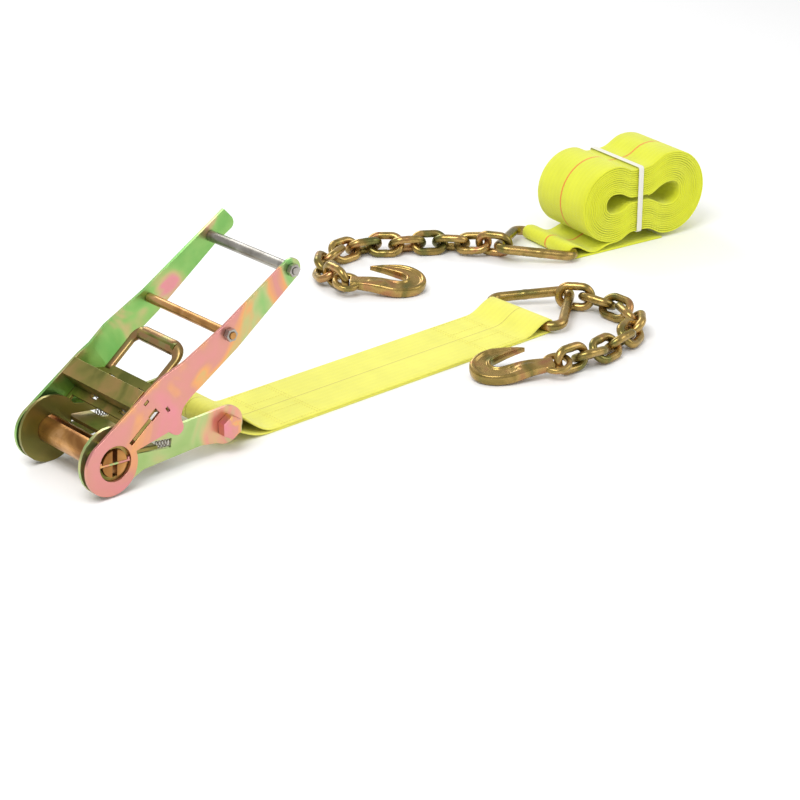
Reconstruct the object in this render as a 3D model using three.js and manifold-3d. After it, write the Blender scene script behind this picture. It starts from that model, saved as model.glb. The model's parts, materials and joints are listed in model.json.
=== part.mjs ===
// A 100 mm ratchet tie-down with chain anchors: the ratchet half with its short sewn strap, delta ring,
// chain and grab hook, and the long half with its rolled webbing, delta ring, chain and grab hook.
// Millimetres, +Z up. It lies on a floor at z = 0, and the origin is the middle of its footprint.
// +X runs from the ratchet along the short strap, and -Y is the near side, with the bolt's head.
import * as THREE from "three";
import { mergeVertices } from "three/addons/utils/BufferGeometryUtils.js";
import Module from "manifold-3d";

const wasm = await Module();
wasm.setup();

// ---- driving dimensions ----
const GAP = 0.4; // running gap between neighbouring pieces
const PLATE = 4; // thickness of the frame and lever plates
const WEBBING = 101.6; // width of the webbing
const PLY = 2.8; // thickness of one layer of webbing

const INNER_HALF = 53; // spindle centre plane to the inner face of a frame plate
const FRAME_OUT = INNER_HALF + PLATE;
const WHEEL_THICK = 5;
const WHEEL_IN = FRAME_OUT + GAP;
const WHEEL_OUT = WHEEL_IN + WHEEL_THICK;
const LEVER_IN = WHEEL_OUT + GAP;
const LEVER_OUT = LEVER_IN + PLATE;
const JOGGLE = 6; // how far the lever's arms are stepped outwards
const ARM_IN = LEVER_IN + JOGGLE;
const ARM_OUT = LEVER_OUT + JOGGLE;

const SPINDLE_Z = 38; // spindle axis above the floor, the frame's hub radius
const HUB_R = 38;
const BOLT = { x: 154, z: 33 }; // base bolt, at the strap end of the frame
const BOLT_R = 6;
const SPACER_R = 10;
const FRAME_END_R = 22;

const LEVER_ANGLE = 31; // degrees above the floor, half way through a stroke
const PAWL_ANGLE = 7; // the drive pawl's plane above the lever's axis, through the spindle axis
const LEVER_HUB = { x: -5, r: 33 };
const LEVER_HOLE_R = 20;
const MID = { x: 183, z: 15.6 }; // middle cross bar, along and above the lever's axis
const GRIP = { x: 284, z: 14.4 }; // grip bar
const GRIP_END_R = 12.5;
const TAB_LENGTH = 34; // how far the far arm runs on past the grip bar

const TEETH = 12;
const TIP_R = 31;
const ROOT_R = 24.5;
const PAWL_CENTRE = 5.5; // degrees from a tooth's straight face to the middle of the pawl in its gullet
const TOOTH_LAND = 4; // degrees of flat on each tooth
const SPINDLE_R = 15.5;
const SPINDLE_SLOT = 6; // the slot that the long strap threads through
const PAWL_THICK = 4;
const PAWL_TIP_REST = TIP_R + 0.5; // the drive pawl rides on the teeth
const STOP_TIP_REST = 28; // the stop pawl sits in a gullet

const STRAP_END_X = 655; // the ring's bar in the short strap's far loop
const RING = { wire: 6.35, halfWidth: 71.3, tip: 91, apexR: 15, cornerR: 12 };
const LINK = { wire: 5.15, inside: 31, width: 15.5 };
const LINK_GAP = 1.6; // slack between one link and the next
const END_GAP = 2; // slack between the first link and its ring
const EYE_GAP = 4.2; // slack between the last link and the hook's eye
const LINK_BEND = LINK.width / 2 + LINK.wire; // bend radius of a link's end, at the wire's centre
// How a link lies: rolled about its length, tipped nose down, and the height of its middle.
const UPRIGHT = { roll: 80, tip: 0, z: 18.2 }; // in a ring or an eye
const NEXT = { roll: 30, tip: 6.5, z: 15.5 }; // hung between an upright link and the run
const RUN = { roll: 45, tip: 0, z: 14.4 };
const LINK_STRAIGHT = (LINK.inside - LINK.width) / 2; // link's middle to the centre of its bend

// ---- materials ----
const finish = (color, roughness, metalness) => new THREE.MeshStandardMaterial({ color, roughness, metalness });
const ZINC = finish(0xd29a8c, 0.38, 0.85);
const ZINC_GREEN = finish(0x9fb36a, 0.4, 0.85);
const ZINC_GOLD = finish(0x8d7a3c, 0.35, 0.9);
const COPPER = finish(0xa8703a, 0.32, 0.9);
const STEEL = finish(0x8f8a80, 0.35, 0.9);
const CHAIN_GOLD = finish(0x96803f, 0.35, 0.9);
const WEB_YELLOW = finish(0xf2f23c, 0.85, 0);
const BAND_WHITE = finish(0xf1efe2, 0.7, 0);

// ---- shaping ----
const rad = THREE.MathUtils.degToRad;
const kit = new THREE.Group();

function solid(geometry) {
  const bare = geometry.clone();
  bare.deleteAttribute("normal");
  bare.deleteAttribute("uv");
  const merged = mergeVertices(bare, 1e-4);
  return new wasm.Manifold(
    new wasm.Mesh({
      numProp: 3,
      vertProperties: merged.attributes.position.array,
      triVerts: new Uint32Array(merged.index.array),
    }),
  );
}

function surface(manifold) {
  const mesh = manifold.getMesh();
  const geometry = new THREE.BufferGeometry();
  geometry.setAttribute("position", new THREE.BufferAttribute(new Float32Array(mesh.vertProperties), 3));
  geometry.setIndex(new THREE.BufferAttribute(new Uint32Array(mesh.triVerts), 1));
  geometry.computeVertexNormals();
  return geometry;
}

function cut(geometry, ...tools) {
  return surface(tools.reduce((made, tool) => made.subtract(solid(tool)), solid(geometry)));
}

function join(geometry, ...others) {
  return surface(others.reduce((made, other) => made.add(solid(other)), solid(geometry)));
}

// An outline drawn in X and Z, as a plate from y = low to y = high.
function plate(shape, low, high, curveSegments = 10) {
  const geometry = new THREE.ExtrudeGeometry(shape, { depth: high - low, bevelEnabled: false, curveSegments });
  return geometry.rotateX(Math.PI / 2).translate(0, high, 0);
}

function box(x0, x1, y0, y1, z0, z1) {
  const geometry = new THREE.BoxGeometry(x1 - x0, y1 - y0, z1 - z0);
  return geometry.translate((x0 + x1) / 2, (y0 + y1) / 2, (z0 + z1) / 2);
}

// A round bar along Y at (x, z).
function bar(radius, low, high, x, z, sides = 16) {
  const geometry = new THREE.CylinderGeometry(radius, radius, high - low, sides);
  return geometry.translate(x, (low + high) / 2, z);
}

function polygon(points) {
  return new THREE.Shape(points.map(([x, y]) => new THREE.Vector2(x, y)));
}

function hexagon(acrossFlats, x, y) {
  const corner = acrossFlats / Math.sqrt(3);
  const at = (k) => [x + corner * Math.cos(rad(60 * k + 30)), y + corner * Math.sin(rad(60 * k + 30))];
  return polygon([0, 1, 2, 3, 4, 5].map(at));
}

function roundHole(shape, x, z, radius) {
  const hole = new THREE.Path();
  hole.absarc(x, z, radius, 0, 2 * Math.PI, true);
  shape.holes.push(hole);
}

function add(parent, name, geometry, material) {
  const mesh = new THREE.Mesh(geometry, material);
  mesh.name = name;
  parent.add(mesh);
  return mesh;
}

// ---- ratchet frame: two plates, base bolt, nut and spacer ----
const STOP_SLOPE = -8; // degrees, the stop pawl's line in the frame's window
const STOP_ANGLE = LEVER_ANGLE + PAWL_ANGLE - 360 / TEETH;
const stopTip = {
  x: STOP_TIP_REST * Math.cos(rad(STOP_ANGLE)),
  z: SPINDLE_Z + STOP_TIP_REST * Math.sin(rad(STOP_ANGLE)),
};
const WINDOW = { back: -0.5, front: 52, half: 5.2 };

function onStopLine(geometry) {
  return geometry.rotateY(-rad(STOP_SLOPE)).translate(stopTip.x, 0, stopTip.z);
}

function frameShape() {
  const shape = new THREE.Shape();
  shape.absarc(0, SPINDLE_Z, HUB_R, rad(32), rad(300), false);
  shape.lineTo(42, 15);
  shape.lineTo(84, 17);
  shape.lineTo(118, 19);
  shape.absarc(BOLT.x, BOLT.z, FRAME_END_R, rad(-125), rad(98), false);
  shape.lineTo(112, 53);
  shape.lineTo(58, 52);
  shape.closePath();
  roundHole(shape, 0, SPINDLE_Z, SPINDLE_R + GAP);
  roundHole(shape, BOLT.x, BOLT.z, BOLT_R + GAP);
  return shape;
}

const frame = new THREE.Group();
kit.add(frame);
for (const [side, low] of [["near", -FRAME_OUT], ["far", INNER_HALF]]) {
  const window = onStopLine(box(WINDOW.back, WINDOW.front, low - 1, low + PLATE + 1, -WINDOW.half, WINDOW.half));
  add(frame, "frame_plate_" + side, cut(plate(frameShape(), low, low + PLATE), window), ZINC_GREEN);
}

const HEAD = { flats: 24, height: 11 };
const nutShape = (flats, hole) => {
  const shape = hexagon(flats, 0, 0);
  roundHole(shape, 0, 0, hole);
  return shape;
};
const bolt = new THREE.Group();
bolt.position.set(BOLT.x, 0, BOLT.z);
frame.add(bolt);
const boltHead = plate(hexagon(HEAD.flats, 0, 0), -FRAME_OUT - GAP - HEAD.height, -FRAME_OUT - GAP);
const boltShank = bar(BOLT_R, -FRAME_OUT - GAP - 1, FRAME_OUT + 12, 0, 0);
add(bolt, "base_bolt", join(boltHead, boltShank), ZINC);
add(bolt, "base_nut", plate(nutShape(HEAD.flats, BOLT_R + 0.3), FRAME_OUT + GAP, FRAME_OUT + GAP + 8), ZINC);
const spacerShape = new THREE.Shape();
spacerShape.absarc(0, 0, SPACER_R, 0, 2 * Math.PI, false);
roundHole(spacerShape, 0, 0, BOLT_R + GAP);
add(bolt, "spacer_tube", plate(spacerShape, -INNER_HALF + GAP, INNER_HALF - GAP), COPPER);

// ---- coil springs ----
const SPRING = { r: 3.6, wire: 0.6, turns: 4, sides: 5, steps: 10 };

class Helix extends THREE.Curve {
  constructor(length) {
    super();
    this.length = length;
  }
  getPoint(t, target = new THREE.Vector3()) {
    const a = 2 * Math.PI * SPRING.turns * t;
    return target.set(this.length * t, SPRING.r * Math.cos(a), SPRING.r * Math.sin(a));
  }
}

function circle(radius, sides) {
  const corners = [];
  for (let k = 0; k < sides; k++) {
    const a = (2 * Math.PI * k) / sides;
    corners.push([radius * Math.cos(a), radius * Math.sin(a)]);
  }
  return polygon(corners);
}

function spring(from, to, y) {
  const geometry = new THREE.ExtrudeGeometry(circle(SPRING.wire, SPRING.sides), {
    steps: SPRING.turns * SPRING.steps,
    extrudePath: new Helix(to - from - 2 * SPRING.wire),
  });
  return geometry.translate(from + SPRING.wire, y, 0);
}

// ---- stop pawl: slides in the frame's windows and catches both wheels ----
const STOP_LENGTH = 30;
add(
  frame,
  "stop_pawl",
  onStopLine(box(0, STOP_LENGTH, -WHEEL_OUT, WHEEL_OUT, -PAWL_THICK / 2, PAWL_THICK / 2)),
  ZINC_GOLD,
);
const springY = INNER_HALF + PLATE / 2;
for (const [side, y] of [["near", -springY], ["far", springY]]) {
  add(frame, "stop_spring_" + side, onStopLine(spring(STOP_LENGTH + 0.4, WINDOW.front - 0.4, y)), STEEL);
}

// ---- spindle: two half-round bars, a wheel on each side and a retaining pin at each end ----
const spindle = new THREE.Group();
spindle.position.z = SPINDLE_Z;
kit.add(spindle);

function wheelShape() {
  const pitch = 360 / TEETH;
  const face = LEVER_ANGLE + PAWL_ANGLE - PAWL_CENTRE;
  const at = (r, a) => [r * Math.cos(rad(a)), r * Math.sin(rad(a))];
  const points = [];
  for (let k = 0; k < TEETH; k++) {
    const a = face + k * pitch;
    points.push(at(ROOT_R, a), at(TIP_R, a + pitch - TOOTH_LAND), at(TIP_R, a + pitch));
  }
  const shape = polygon(points);
  roundHole(shape, 0, 0, SPINDLE_R + GAP);
  return shape;
}
add(spindle, "ratchet_wheel_near", plate(wheelShape(), -WHEEL_OUT, -WHEEL_IN), ZINC_GOLD);
add(spindle, "ratchet_wheel_far", plate(wheelShape(), WHEEL_IN, WHEEL_OUT), ZINC_GOLD);

const SPINDLE_HALF = LEVER_OUT - 1.2;
const PIN = { r: 1.5, y: LEVER_IN + 1.6, reach: 19.2, leg: 4 };
function halfMoonShape() {
  const flat = SPINDLE_SLOT / 2;
  const start = Math.asin(flat / SPINDLE_R);
  const shape = new THREE.Shape();
  shape.absarc(0, 0, SPINDLE_R, start, Math.PI - start, false);
  shape.closePath();
  return shape;
}
const SLOT_TURN = LEVER_ANGLE + 55; // the slot's angle at rest
for (const [name, turn] of [["spindle_bar_upper", SLOT_TURN], ["spindle_bar_lower", SLOT_TURN + 180]]) {
  const pinHoles = [-PIN.y, PIN.y].map((y) =>
    new THREE.CylinderGeometry(PIN.r + 0.3, PIN.r + 0.3, 40, 8).rotateX(Math.PI / 2).translate(0, y, 0),
  );
  const barBody = cut(plate(halfMoonShape(), -SPINDLE_HALF, SPINDLE_HALF), ...pinHoles);
  add(spindle, name, barBody.rotateY(-rad(turn)), COPPER);
}
for (const [side, y] of [["near", -PIN.y], ["far", PIN.y]]) {
  const rod = new THREE.CylinderGeometry(PIN.r, PIN.r, 2 * PIN.reach, 8).rotateX(Math.PI / 2);
  const legRod = new THREE.CylinderGeometry(PIN.r, PIN.r, PIN.leg, 8).rotateZ(Math.PI / 2);
  const leg = (z) => legRod.clone().translate(PIN.leg / 2, 0, z);
  const pin = join(rod, leg(PIN.reach - PIN.r), leg(PIN.r - PIN.reach)).translate(0, y, 0);
  add(spindle, "retaining_pin_" + side, pin.rotateY(-rad(SLOT_TURN)), ZINC);
}

// ---- lever: two stepped plates, bridge channel, cross bar and grip ----
const lever = new THREE.Group();
lever.position.z = SPINDLE_Z;
lever.rotation.y = -rad(LEVER_ANGLE);
kit.add(lever);

const STEP = { from: 96, to: 124 }; // where the plates are joggled outwards
const PAWL_SLOT = { from: 26, to: 72, half: 2.6, wideFrom: 60, wideHalf: 4.4 };
const STUB = { x0: 65.6, x1: 72, z0: 16.6, z1: 20.4 }; // the bridge's staked tab, in the pawl's frame

const inPawlFrame = (geometry) => geometry.rotateY(-rad(PAWL_ANGLE));

function leverShape(tab) {
  const shape = new THREE.Shape();
  shape.absarc(LEVER_HUB.x, 0, LEVER_HUB.r, rad(85), rad(345), false);
  shape.lineTo(68, -23);
  shape.quadraticCurveTo(71, -36, 78, -36);
  shape.quadraticCurveTo(86, -36, 87, -26);
  shape.quadraticCurveTo(90, -11, 124, -7);
  shape.lineTo(MID.x, -6.5);
  if (tab) {
    const end = GRIP.x + TAB_LENGTH;
    shape.lineTo(GRIP.x, GRIP.z - GRIP_END_R);
    shape.lineTo(end - 9, GRIP.z - GRIP_END_R - 1);
    shape.quadraticCurveTo(end, GRIP.z - GRIP_END_R - 1, end, GRIP.z - 3);
    shape.lineTo(end - 3, GRIP.z + GRIP_END_R);
  } else {
    shape.absarc(GRIP.x, GRIP.z, GRIP_END_R, rad(-90), rad(90), false);
  }
  shape.lineTo(MID.x, 27.5);
  shape.lineTo(112, 33.5);
  shape.lineTo(78, 35.5);
  shape.closePath();
  roundHole(shape, 0, 0, LEVER_HOLE_R);
  roundHole(shape, MID.x, MID.z, 4.4);
  roundHole(shape, GRIP.x, GRIP.z, 4.4);
  return shape;
}

// The sheet before it is trimmed to its outline, bent in plan and as deep as the lever.
function joggledSheet() {
  const [start, end] = [-60, GRIP.x + TAB_LENGTH + 20];
  const bend = polygon([
    [start, LEVER_IN], [STEP.from, LEVER_IN], [STEP.to, ARM_IN], [end, ARM_IN],
    [end, ARM_OUT], [STEP.to, ARM_OUT], [STEP.from, LEVER_OUT], [start, LEVER_OUT],
  ]);
  return new THREE.ExtrudeGeometry(bend, { depth: 160, bevelEnabled: false }).translate(0, 0, -80);
}

function pawlSlotCutters() {
  const s = PAWL_SLOT;
  return [
    box(s.from, s.to, LEVER_IN - 5, ARM_OUT + 5, -s.half, s.half),
    box(s.wideFrom, s.to, LEVER_IN - 5, ARM_OUT + 5, -s.wideHalf, s.wideHalf),
    box(STUB.x0, STUB.x1, LEVER_IN - 5, ARM_OUT + 5, STUB.z0, STUB.z1),
  ].map(inPawlFrame);
}

function leverPlate(tab) {
  const outline = solid(plate(leverShape(tab), LEVER_IN - 2, ARM_OUT + 2, 14));
  const notch = box(79.5, 83, LEVER_IN - 5, ARM_OUT + 5, -4, 3);
  return cut(surface(solid(joggledSheet()).intersect(outline)), notch, ...pawlSlotCutters());
}

function mirrored(geometry) {
  const flipped = geometry.clone().scale(1, -1, 1);
  const order = flipped.index.array;
  for (let i = 0; i < order.length; i += 3) [order[i + 1], order[i + 2]] = [order[i + 2], order[i + 1]];
  return flipped;
}
add(lever, "lever_plate_near", mirrored(leverPlate(false)), ZINC);
add(lever, "lever_plate_far", leverPlate(true), ZINC);

const bridge = { from: 54, to: 76, top: 28, sheet: 3, bottom: 5, y: LEVER_IN - GAP };
const TAB = { y0: 22, y1: 30, bottom: -5 };
function bridgeChannel() {
  const b = bridge;
  const parts = [
    box(b.from, b.from + b.sheet, -b.y, b.y, b.bottom, b.top - 1),
    box(b.to - b.sheet, b.to, -b.y, b.y, b.bottom, b.top - 1),
  ];
  for (const side of [-1, 1]) {
    const wall = [side * b.y, side * (b.y - b.sheet)].sort((p, q) => p - q);
    const stub = [side * (b.y - 1), side * (LEVER_OUT - 0.5)].sort((p, q) => p - q);
    const tab = [side * TAB.y0, side * TAB.y1].sort((p, q) => p - q);
    parts.push(box(b.from, b.to, ...wall, b.bottom, b.top - 1));
    parts.push(box(STUB.x0 + GAP, STUB.x1 - GAP, ...stub, STUB.z0 + GAP, STUB.z1 - GAP));
    parts.push(box(b.to - b.sheet, b.to, ...tab, TAB.bottom, b.bottom + 1));
  }
  return join(box(b.from, b.to, -b.y, b.y, b.top - b.sheet, b.top), ...parts);
}
add(lever, "bridge_channel", inPawlFrame(bridgeChannel()), ZINC_GOLD);

// A round bar with a thinner threaded end through each arm.
function shoulderedBar(radius, thread, reach) {
  const shoulder = ARM_IN - GAP;
  const profile = [[0, -reach], [thread, -reach], [thread, -shoulder], [radius, -shoulder],
    [radius, shoulder], [thread, shoulder], [thread, reach], [0, reach]];
  return new THREE.LatheGeometry(profile.map(([r, y]) => new THREE.Vector2(r, y)), 14);
}
const THREAD_R = 4;
const NUT = { flats: 13, thick: 6 };
const BAR_REACH = ARM_OUT + NUT.thick + 2;
for (const [name, at, radius, material] of [["mid_bar", MID, 5.5, COPPER], ["grip_bar", GRIP, 6.5, STEEL]]) {
  add(lever, name, shoulderedBar(radius, THREAD_R, BAR_REACH).translate(at.x, 0, at.z), material);
  for (const [side, low] of [["near", -ARM_OUT - GAP - NUT.thick], ["far", ARM_OUT + GAP]]) {
    const nut = plate(nutShape(NUT.flats, THREAD_R + 0.3), low, low + NUT.thick, 6);
    add(lever, name + "_nut_" + side, nut.translate(at.x, 0, at.z), STEEL);
  }
}

// ---- drive pawl: a sprung plate with a finger pull ----
const PULL = { from: 88, to: 141, half: 44, legs: 9, corner: 12, lip: 6.5 };
const pawlWindow = { from: 50, to: 84, y0: 20.5, y1: 31.5 };
function drivePawl() {
  const half = PAWL_THICK / 2;
  const reach = bridge.y - 0.2;
  const outline = polygon([
    [44, -reach], [80, -reach], [PULL.from, -PULL.half], [PULL.to - PULL.corner, -PULL.half],
    [PULL.to, PULL.corner - PULL.half], [PULL.to, PULL.half - PULL.corner],
    [PULL.to - PULL.corner, PULL.half], [PULL.from, PULL.half], [80, reach], [44, reach],
  ]);
  const sheet = new THREE.ExtrudeGeometry(outline, { depth: PAWL_THICK, bevelEnabled: false }).translate(0, 0, -half);
  const prong = (side) => {
    const y = [side * (WHEEL_IN + 0.5), side * (LEVER_OUT - 0.5)].sort((p, q) => p - q);
    return box(PAWL_TIP_REST, 60, ...y, -half, half);
  };
  const windows = [-1, 1].map((side) => {
    const y = [side * pawlWindow.y0, side * pawlWindow.y1].sort((p, q) => p - q);
    return box(pawlWindow.from, pawlWindow.to, ...y, -5, 5);
  });
  const innerHalf = PULL.half - PULL.legs;
  windows.push(box(PULL.from + 6, PULL.to - 4, -innerHalf, innerHalf, -5, 5));
  const lip = bar(PULL.lip, PULL.corner - PULL.half, PULL.half - PULL.corner, PULL.to, 1.5, 12);
  const plateOnly = cut(join(sheet, prong(-1), prong(1)), ...windows);
  return join(plateOnly, lip);
}
add(lever, "drive_pawl", inPawlFrame(drivePawl()), ZINC_GOLD);
for (const [side, y] of [["near", -26], ["far", 26]]) {
  const coil = spring(pawlWindow.from + 0.4, bridge.to - bridge.sheet - 0.4, y);
  add(lever, "drive_spring_" + side, inPawlFrame(coil), STEEL);
}

// ---- webbing: a loop at each end of two plies that lie together ----
const FLAT = 2 * PLY; // thickness of the sewn double strap
function strapProfile() {
  const near = SPACER_R + GAP;
  const outer = near + PLY;
  const ringR = RING.wire + GAP;
  const ringZ = ringR + PLY;
  const shape = new THREE.Shape();
  shape.moveTo(BOLT.x, BOLT.z - outer);
  shape.bezierCurveTo(BOLT.x + 26, BOLT.z - outer, BOLT.x + 34, 0, BOLT.x + 66, 0);
  shape.lineTo(STRAP_END_X, 0);
  shape.absarc(STRAP_END_X, ringZ, ringZ, rad(-90), rad(90), false);
  shape.bezierCurveTo(STRAP_END_X - 18, 2 * ringZ, STRAP_END_X - 26, FLAT, STRAP_END_X - 44, FLAT);
  shape.lineTo(BOLT.x + 74, FLAT);
  shape.bezierCurveTo(BOLT.x + 42, FLAT, BOLT.x + 30, BOLT.z + outer, BOLT.x, BOLT.z + outer);
  shape.absarc(BOLT.x, BOLT.z, outer, rad(90), rad(270), false);
  roundHole(shape, BOLT.x, BOLT.z, near);
  roundHole(shape, STRAP_END_X, ringZ, ringR);
  return shape;
}
const RING_BAR_Z = RING.wire + GAP + PLY;
add(kit, "short_strap", plate(strapProfile(), -WEBBING / 2, WEBBING / 2, 12), WEB_YELLOW);

// ---- delta ring: round wire bent to a triangle, its wide bar along Y at the origin, its apex towards +X ----
function ringCurve() {
  const { halfWidth, tip, apexR, cornerR } = RING;
  const corners = [
    { x: 0, y: -halfWidth, r: cornerR },
    { x: tip, y: 0, r: apexR },
    { x: 0, y: halfWidth, r: cornerR },
  ];
  const path = new THREE.CurvePath();
  const arcs = corners.map((corner, k) => {
    const here = new THREE.Vector3(corner.x, corner.y, 0);
    const towards = (other) => new THREE.Vector3(other.x, other.y, 0).sub(here).normalize();
    const back = towards(corners[(k + 2) % 3]);
    const on = towards(corners[(k + 1) % 3]);
    const half = back.angleTo(on) / 2;
    const reach = corner.r / Math.tan(half);
    const enter = here.clone().addScaledVector(back, reach);
    const leave = here.clone().addScaledVector(on, reach);
    return { here, enter, leave };
  });
  arcs.forEach((arc, k) => {
    path.add(new THREE.QuadraticBezierCurve3(arc.enter, arc.here, arc.leave));
    path.add(new THREE.LineCurve3(arc.leave, arcs[(k + 1) % 3].enter));
  });
  return path;
}

// Sweeps a round wire round a closed curve in the XY plane, at chosen fractions of its length.
function closedWire(point, count, radius, sides) {
  const positions = [];
  const order = [];
  for (let i = 0; i < count; i++) {
    const { at, out } = point(i / count);
    for (let k = 0; k < sides; k++) {
      const a = (2 * Math.PI * (k + 0.5)) / sides;
      const across = radius * Math.cos(a);
      positions.push(at.x + out.x * across, at.y + out.y * across, radius * Math.sin(a));
      const [i2, k2] = [(i + 1) % count, (k + 1) % sides];
      const [p, q, r, s] = [i * sides + k, i2 * sides + k, i2 * sides + k2, i * sides + k2];
      order.push(p, q, r, p, r, s);
    }
  }
  const geometry = new THREE.BufferGeometry();
  geometry.setAttribute("position", new THREE.Float32BufferAttribute(positions, 3));
  geometry.setIndex(order);
  geometry.computeVertexNormals();
  return geometry;
}

function ringGeometry() {
  const curve = ringCurve();
  const centre = new THREE.Vector3(RING.tip / 3, 0, 0);
  const steps = 5;
  const samples = [];
  for (const piece of curve.curves) {
    const count = piece.isLineCurve3 ? 1 : steps;
    for (let i = 0; i < count; i++) {
      const at = piece.getPoint(i / count);
      const along = piece.getTangent(i / count);
      const out = new THREE.Vector3(along.y, -along.x, 0);
      if (out.dot(at.clone().sub(centre)) < 0) out.negate();
      samples.push({ at, out });
    }
  }
  return closedWire((t) => samples[Math.round(t * samples.length)], samples.length, RING.wire, 10);
}

// ---- chain link: round wire bent to an oval, long axis along X ----
function linkGeometry() {
  const arcSteps = 8;
  const samples = [];
  for (const end of [1, -1]) {
    for (let i = 0; i <= arcSteps; i++) {
      const a = rad(-90 + (180 * i) / arcSteps) + (end < 0 ? Math.PI : 0);
      const out = new THREE.Vector3(Math.cos(a), Math.sin(a), 0);
      samples.push({ at: new THREE.Vector3(end * LINK_STRAIGHT, 0, 0).addScaledVector(out, LINK_BEND), out });
    }
  }
  return closedWire((t) => samples[Math.round(t * samples.length)], samples.length, LINK.wire, 8);
}

// ---- grab hook: eye at the origin, shank along +X, point on the +Y side ----
const HOOK = { eyeR: 18.5, holeR: 11, eyeHalf: 3.8, half: 7 };
function hookShape() {
  const shape = new THREE.Shape();
  shape.moveTo(14, -8.5);
  shape.bezierCurveTo(22, -7, 32, -10, 46, -13);
  shape.bezierCurveTo(70, -18, 100, -10, 101, 14);
  shape.bezierCurveTo(102, 34, 86, 45, 66, 44.5);
  shape.bezierCurveTo(52, 44, 38, 42, 27, 37.5);
  shape.bezierCurveTo(40, 36.5, 52, 33, 64, 26.5);
  shape.bezierCurveTo(76, 21, 76, 8, 64, 9);
  shape.bezierCurveTo(48, 10.5, 32, 12.5, 14, 9.5);
  shape.closePath();
  return shape;
}
function hookGeometry() {
  const body = new THREE.ExtrudeGeometry(hookShape(), {
    depth: 2 * HOOK.half, bevelEnabled: false, curveSegments: 6,
  }).translate(0, 0, -HOOK.half);
  const eye = new THREE.CylinderGeometry(HOOK.eyeR, HOOK.eyeR, 2 * HOOK.eyeHalf, 20).rotateX(Math.PI / 2);
  const hole = new THREE.CylinderGeometry(HOOK.holeR, HOOK.holeR, 40, 16).rotateX(Math.PI / 2);
  return cut(join(eye, body), hole);
}

const headingVector = (heading) => new THREE.Vector3(Math.cos(rad(heading)), Math.sin(rad(heading)), 0);
const attitude = ({ roll, tip, heading }) => new THREE.Euler(rad(roll), rad(tip), rad(heading), "ZYX");

// Links roll to one side and the other in turn. The two at each end stand up to meet the ring or the eye.
function linkPose(i, headings, side) {
  const fromHook = headings.length - 1 - i;
  const lie = [UPRIGHT, NEXT][Math.min(i, fromHook)] ?? RUN;
  const roll = (i % 2 ? -side : side) * lie.roll;
  return { roll, tip: fromHook < i ? -lie.tip : lie.tip, heading: headings[i], z: lie.z };
}

// A link's middle to the centre of the wire in its end, on the side that faces the pull.
function toBow(link, pull) {
  const turn = attitude(link);
  const along = new THREE.Vector3(1, 0, 0).applyEuler(turn);
  const bow = pull.clone().projectOnPlane(new THREE.Vector3(0, 0, 1).applyEuler(turn)).normalize();
  return along.multiplyScalar(LINK_STRAIGHT).addScaledVector(bow, LINK_BEND);
}

// The place on a ring's apex bend where the wire runs square to a heading, in the ring's own frame.
function apexContact(turn) {
  const bend = ringCurve().curves[2];
  const wanted = headingVector(turn);
  const fractions = Array.from({ length: 41 }, (_, i) => i / 40);
  const squareness = (t) => Math.abs(bend.getTangent(t).dot(wanted));
  return bend.getPoint(fractions.reduce((best, t) => (squareness(t) < squareness(best) ? t : best)));
}

// Lays a ring and its chain on the floor: one link per heading (degrees), then the hook.
function layAnchor(parent, name, { bar, ringHeading, headings, side, hook }) {
  const ring = add(parent, name + "_delta_ring", ringGeometry(), CHAIN_GOLD);
  ring.position.set(bar.x, bar.y, RING_BAR_Z);
  ring.rotation.copy(attitude({ roll: 0, tip: -APEX_LIFT, heading: ringHeading }));
  ring.updateMatrix();
  const links = headings.map((_, i) => linkPose(i, headings, side));
  const place = apexContact(headings[0] - ringHeading).applyMatrix4(ring.matrix);
  place.addScaledVector(headingVector(headings[0]), LINK.inside / 2 - RING.wire - END_GAP);
  links.forEach((link, i) => {
    if (i > 0) {
      const before = links[i - 1];
      const pull = headingVector(before.heading).add(headingVector(link.heading)).normalize();
      place.add(toBow(before, pull)).add(toBow(link, pull)).addScaledVector(pull, -2 * LINK.wire - LINK_GAP);
    }
    const mesh = add(parent, `${name}_link_${i + 1}`, linkGeometry(), CHAIN_GOLD);
    mesh.position.set(place.x, place.y, link.z);
    mesh.rotation.copy(attitude(link));
  });
  const last = links[links.length - 1];
  const pull = headingVector(last.heading).add(headingVector(hook.heading)).normalize();
  place.add(toBow(last, pull)).addScaledVector(pull, HOOK.holeR - LINK.wire - EYE_GAP);
  const made = add(parent, name + "_grab_hook", hookGeometry(), CHAIN_GOLD);
  made.rotation.copy(attitude(hook));
  made.position.set(place.x, place.y, 0);
  made.updateMatrix();
  const lowest = new THREE.Box3().setFromBufferAttribute(
    made.geometry.clone().applyMatrix4(made.matrix).getAttribute("position"),
  ).min.z;
  made.position.z = GAP - lowest;
}

const APEX_Z = UPRIGHT.z;
const APEX_LIFT = (Math.asin((APEX_Z - RING_BAR_Z) / (RING.tip - 8)) * 180) / Math.PI;

layAnchor(kit, "short", {
  bar: { x: STRAP_END_X, y: 0 },
  ringHeading: 0,
  headings: [-54, -70, -92, -114, -136, -156, -170, -172, -178, -184],
  side: 1,
  hook: { heading: 148, roll: 167, tip: 5.5 },
});

// ---- the long half: rolled webbing, band, sewn tail, ring, chain and hook ----
const long = new THREE.Group();
long.position.set(868, 158, 0);
long.rotation.z = rad(-8);
kit.add(long);

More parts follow.
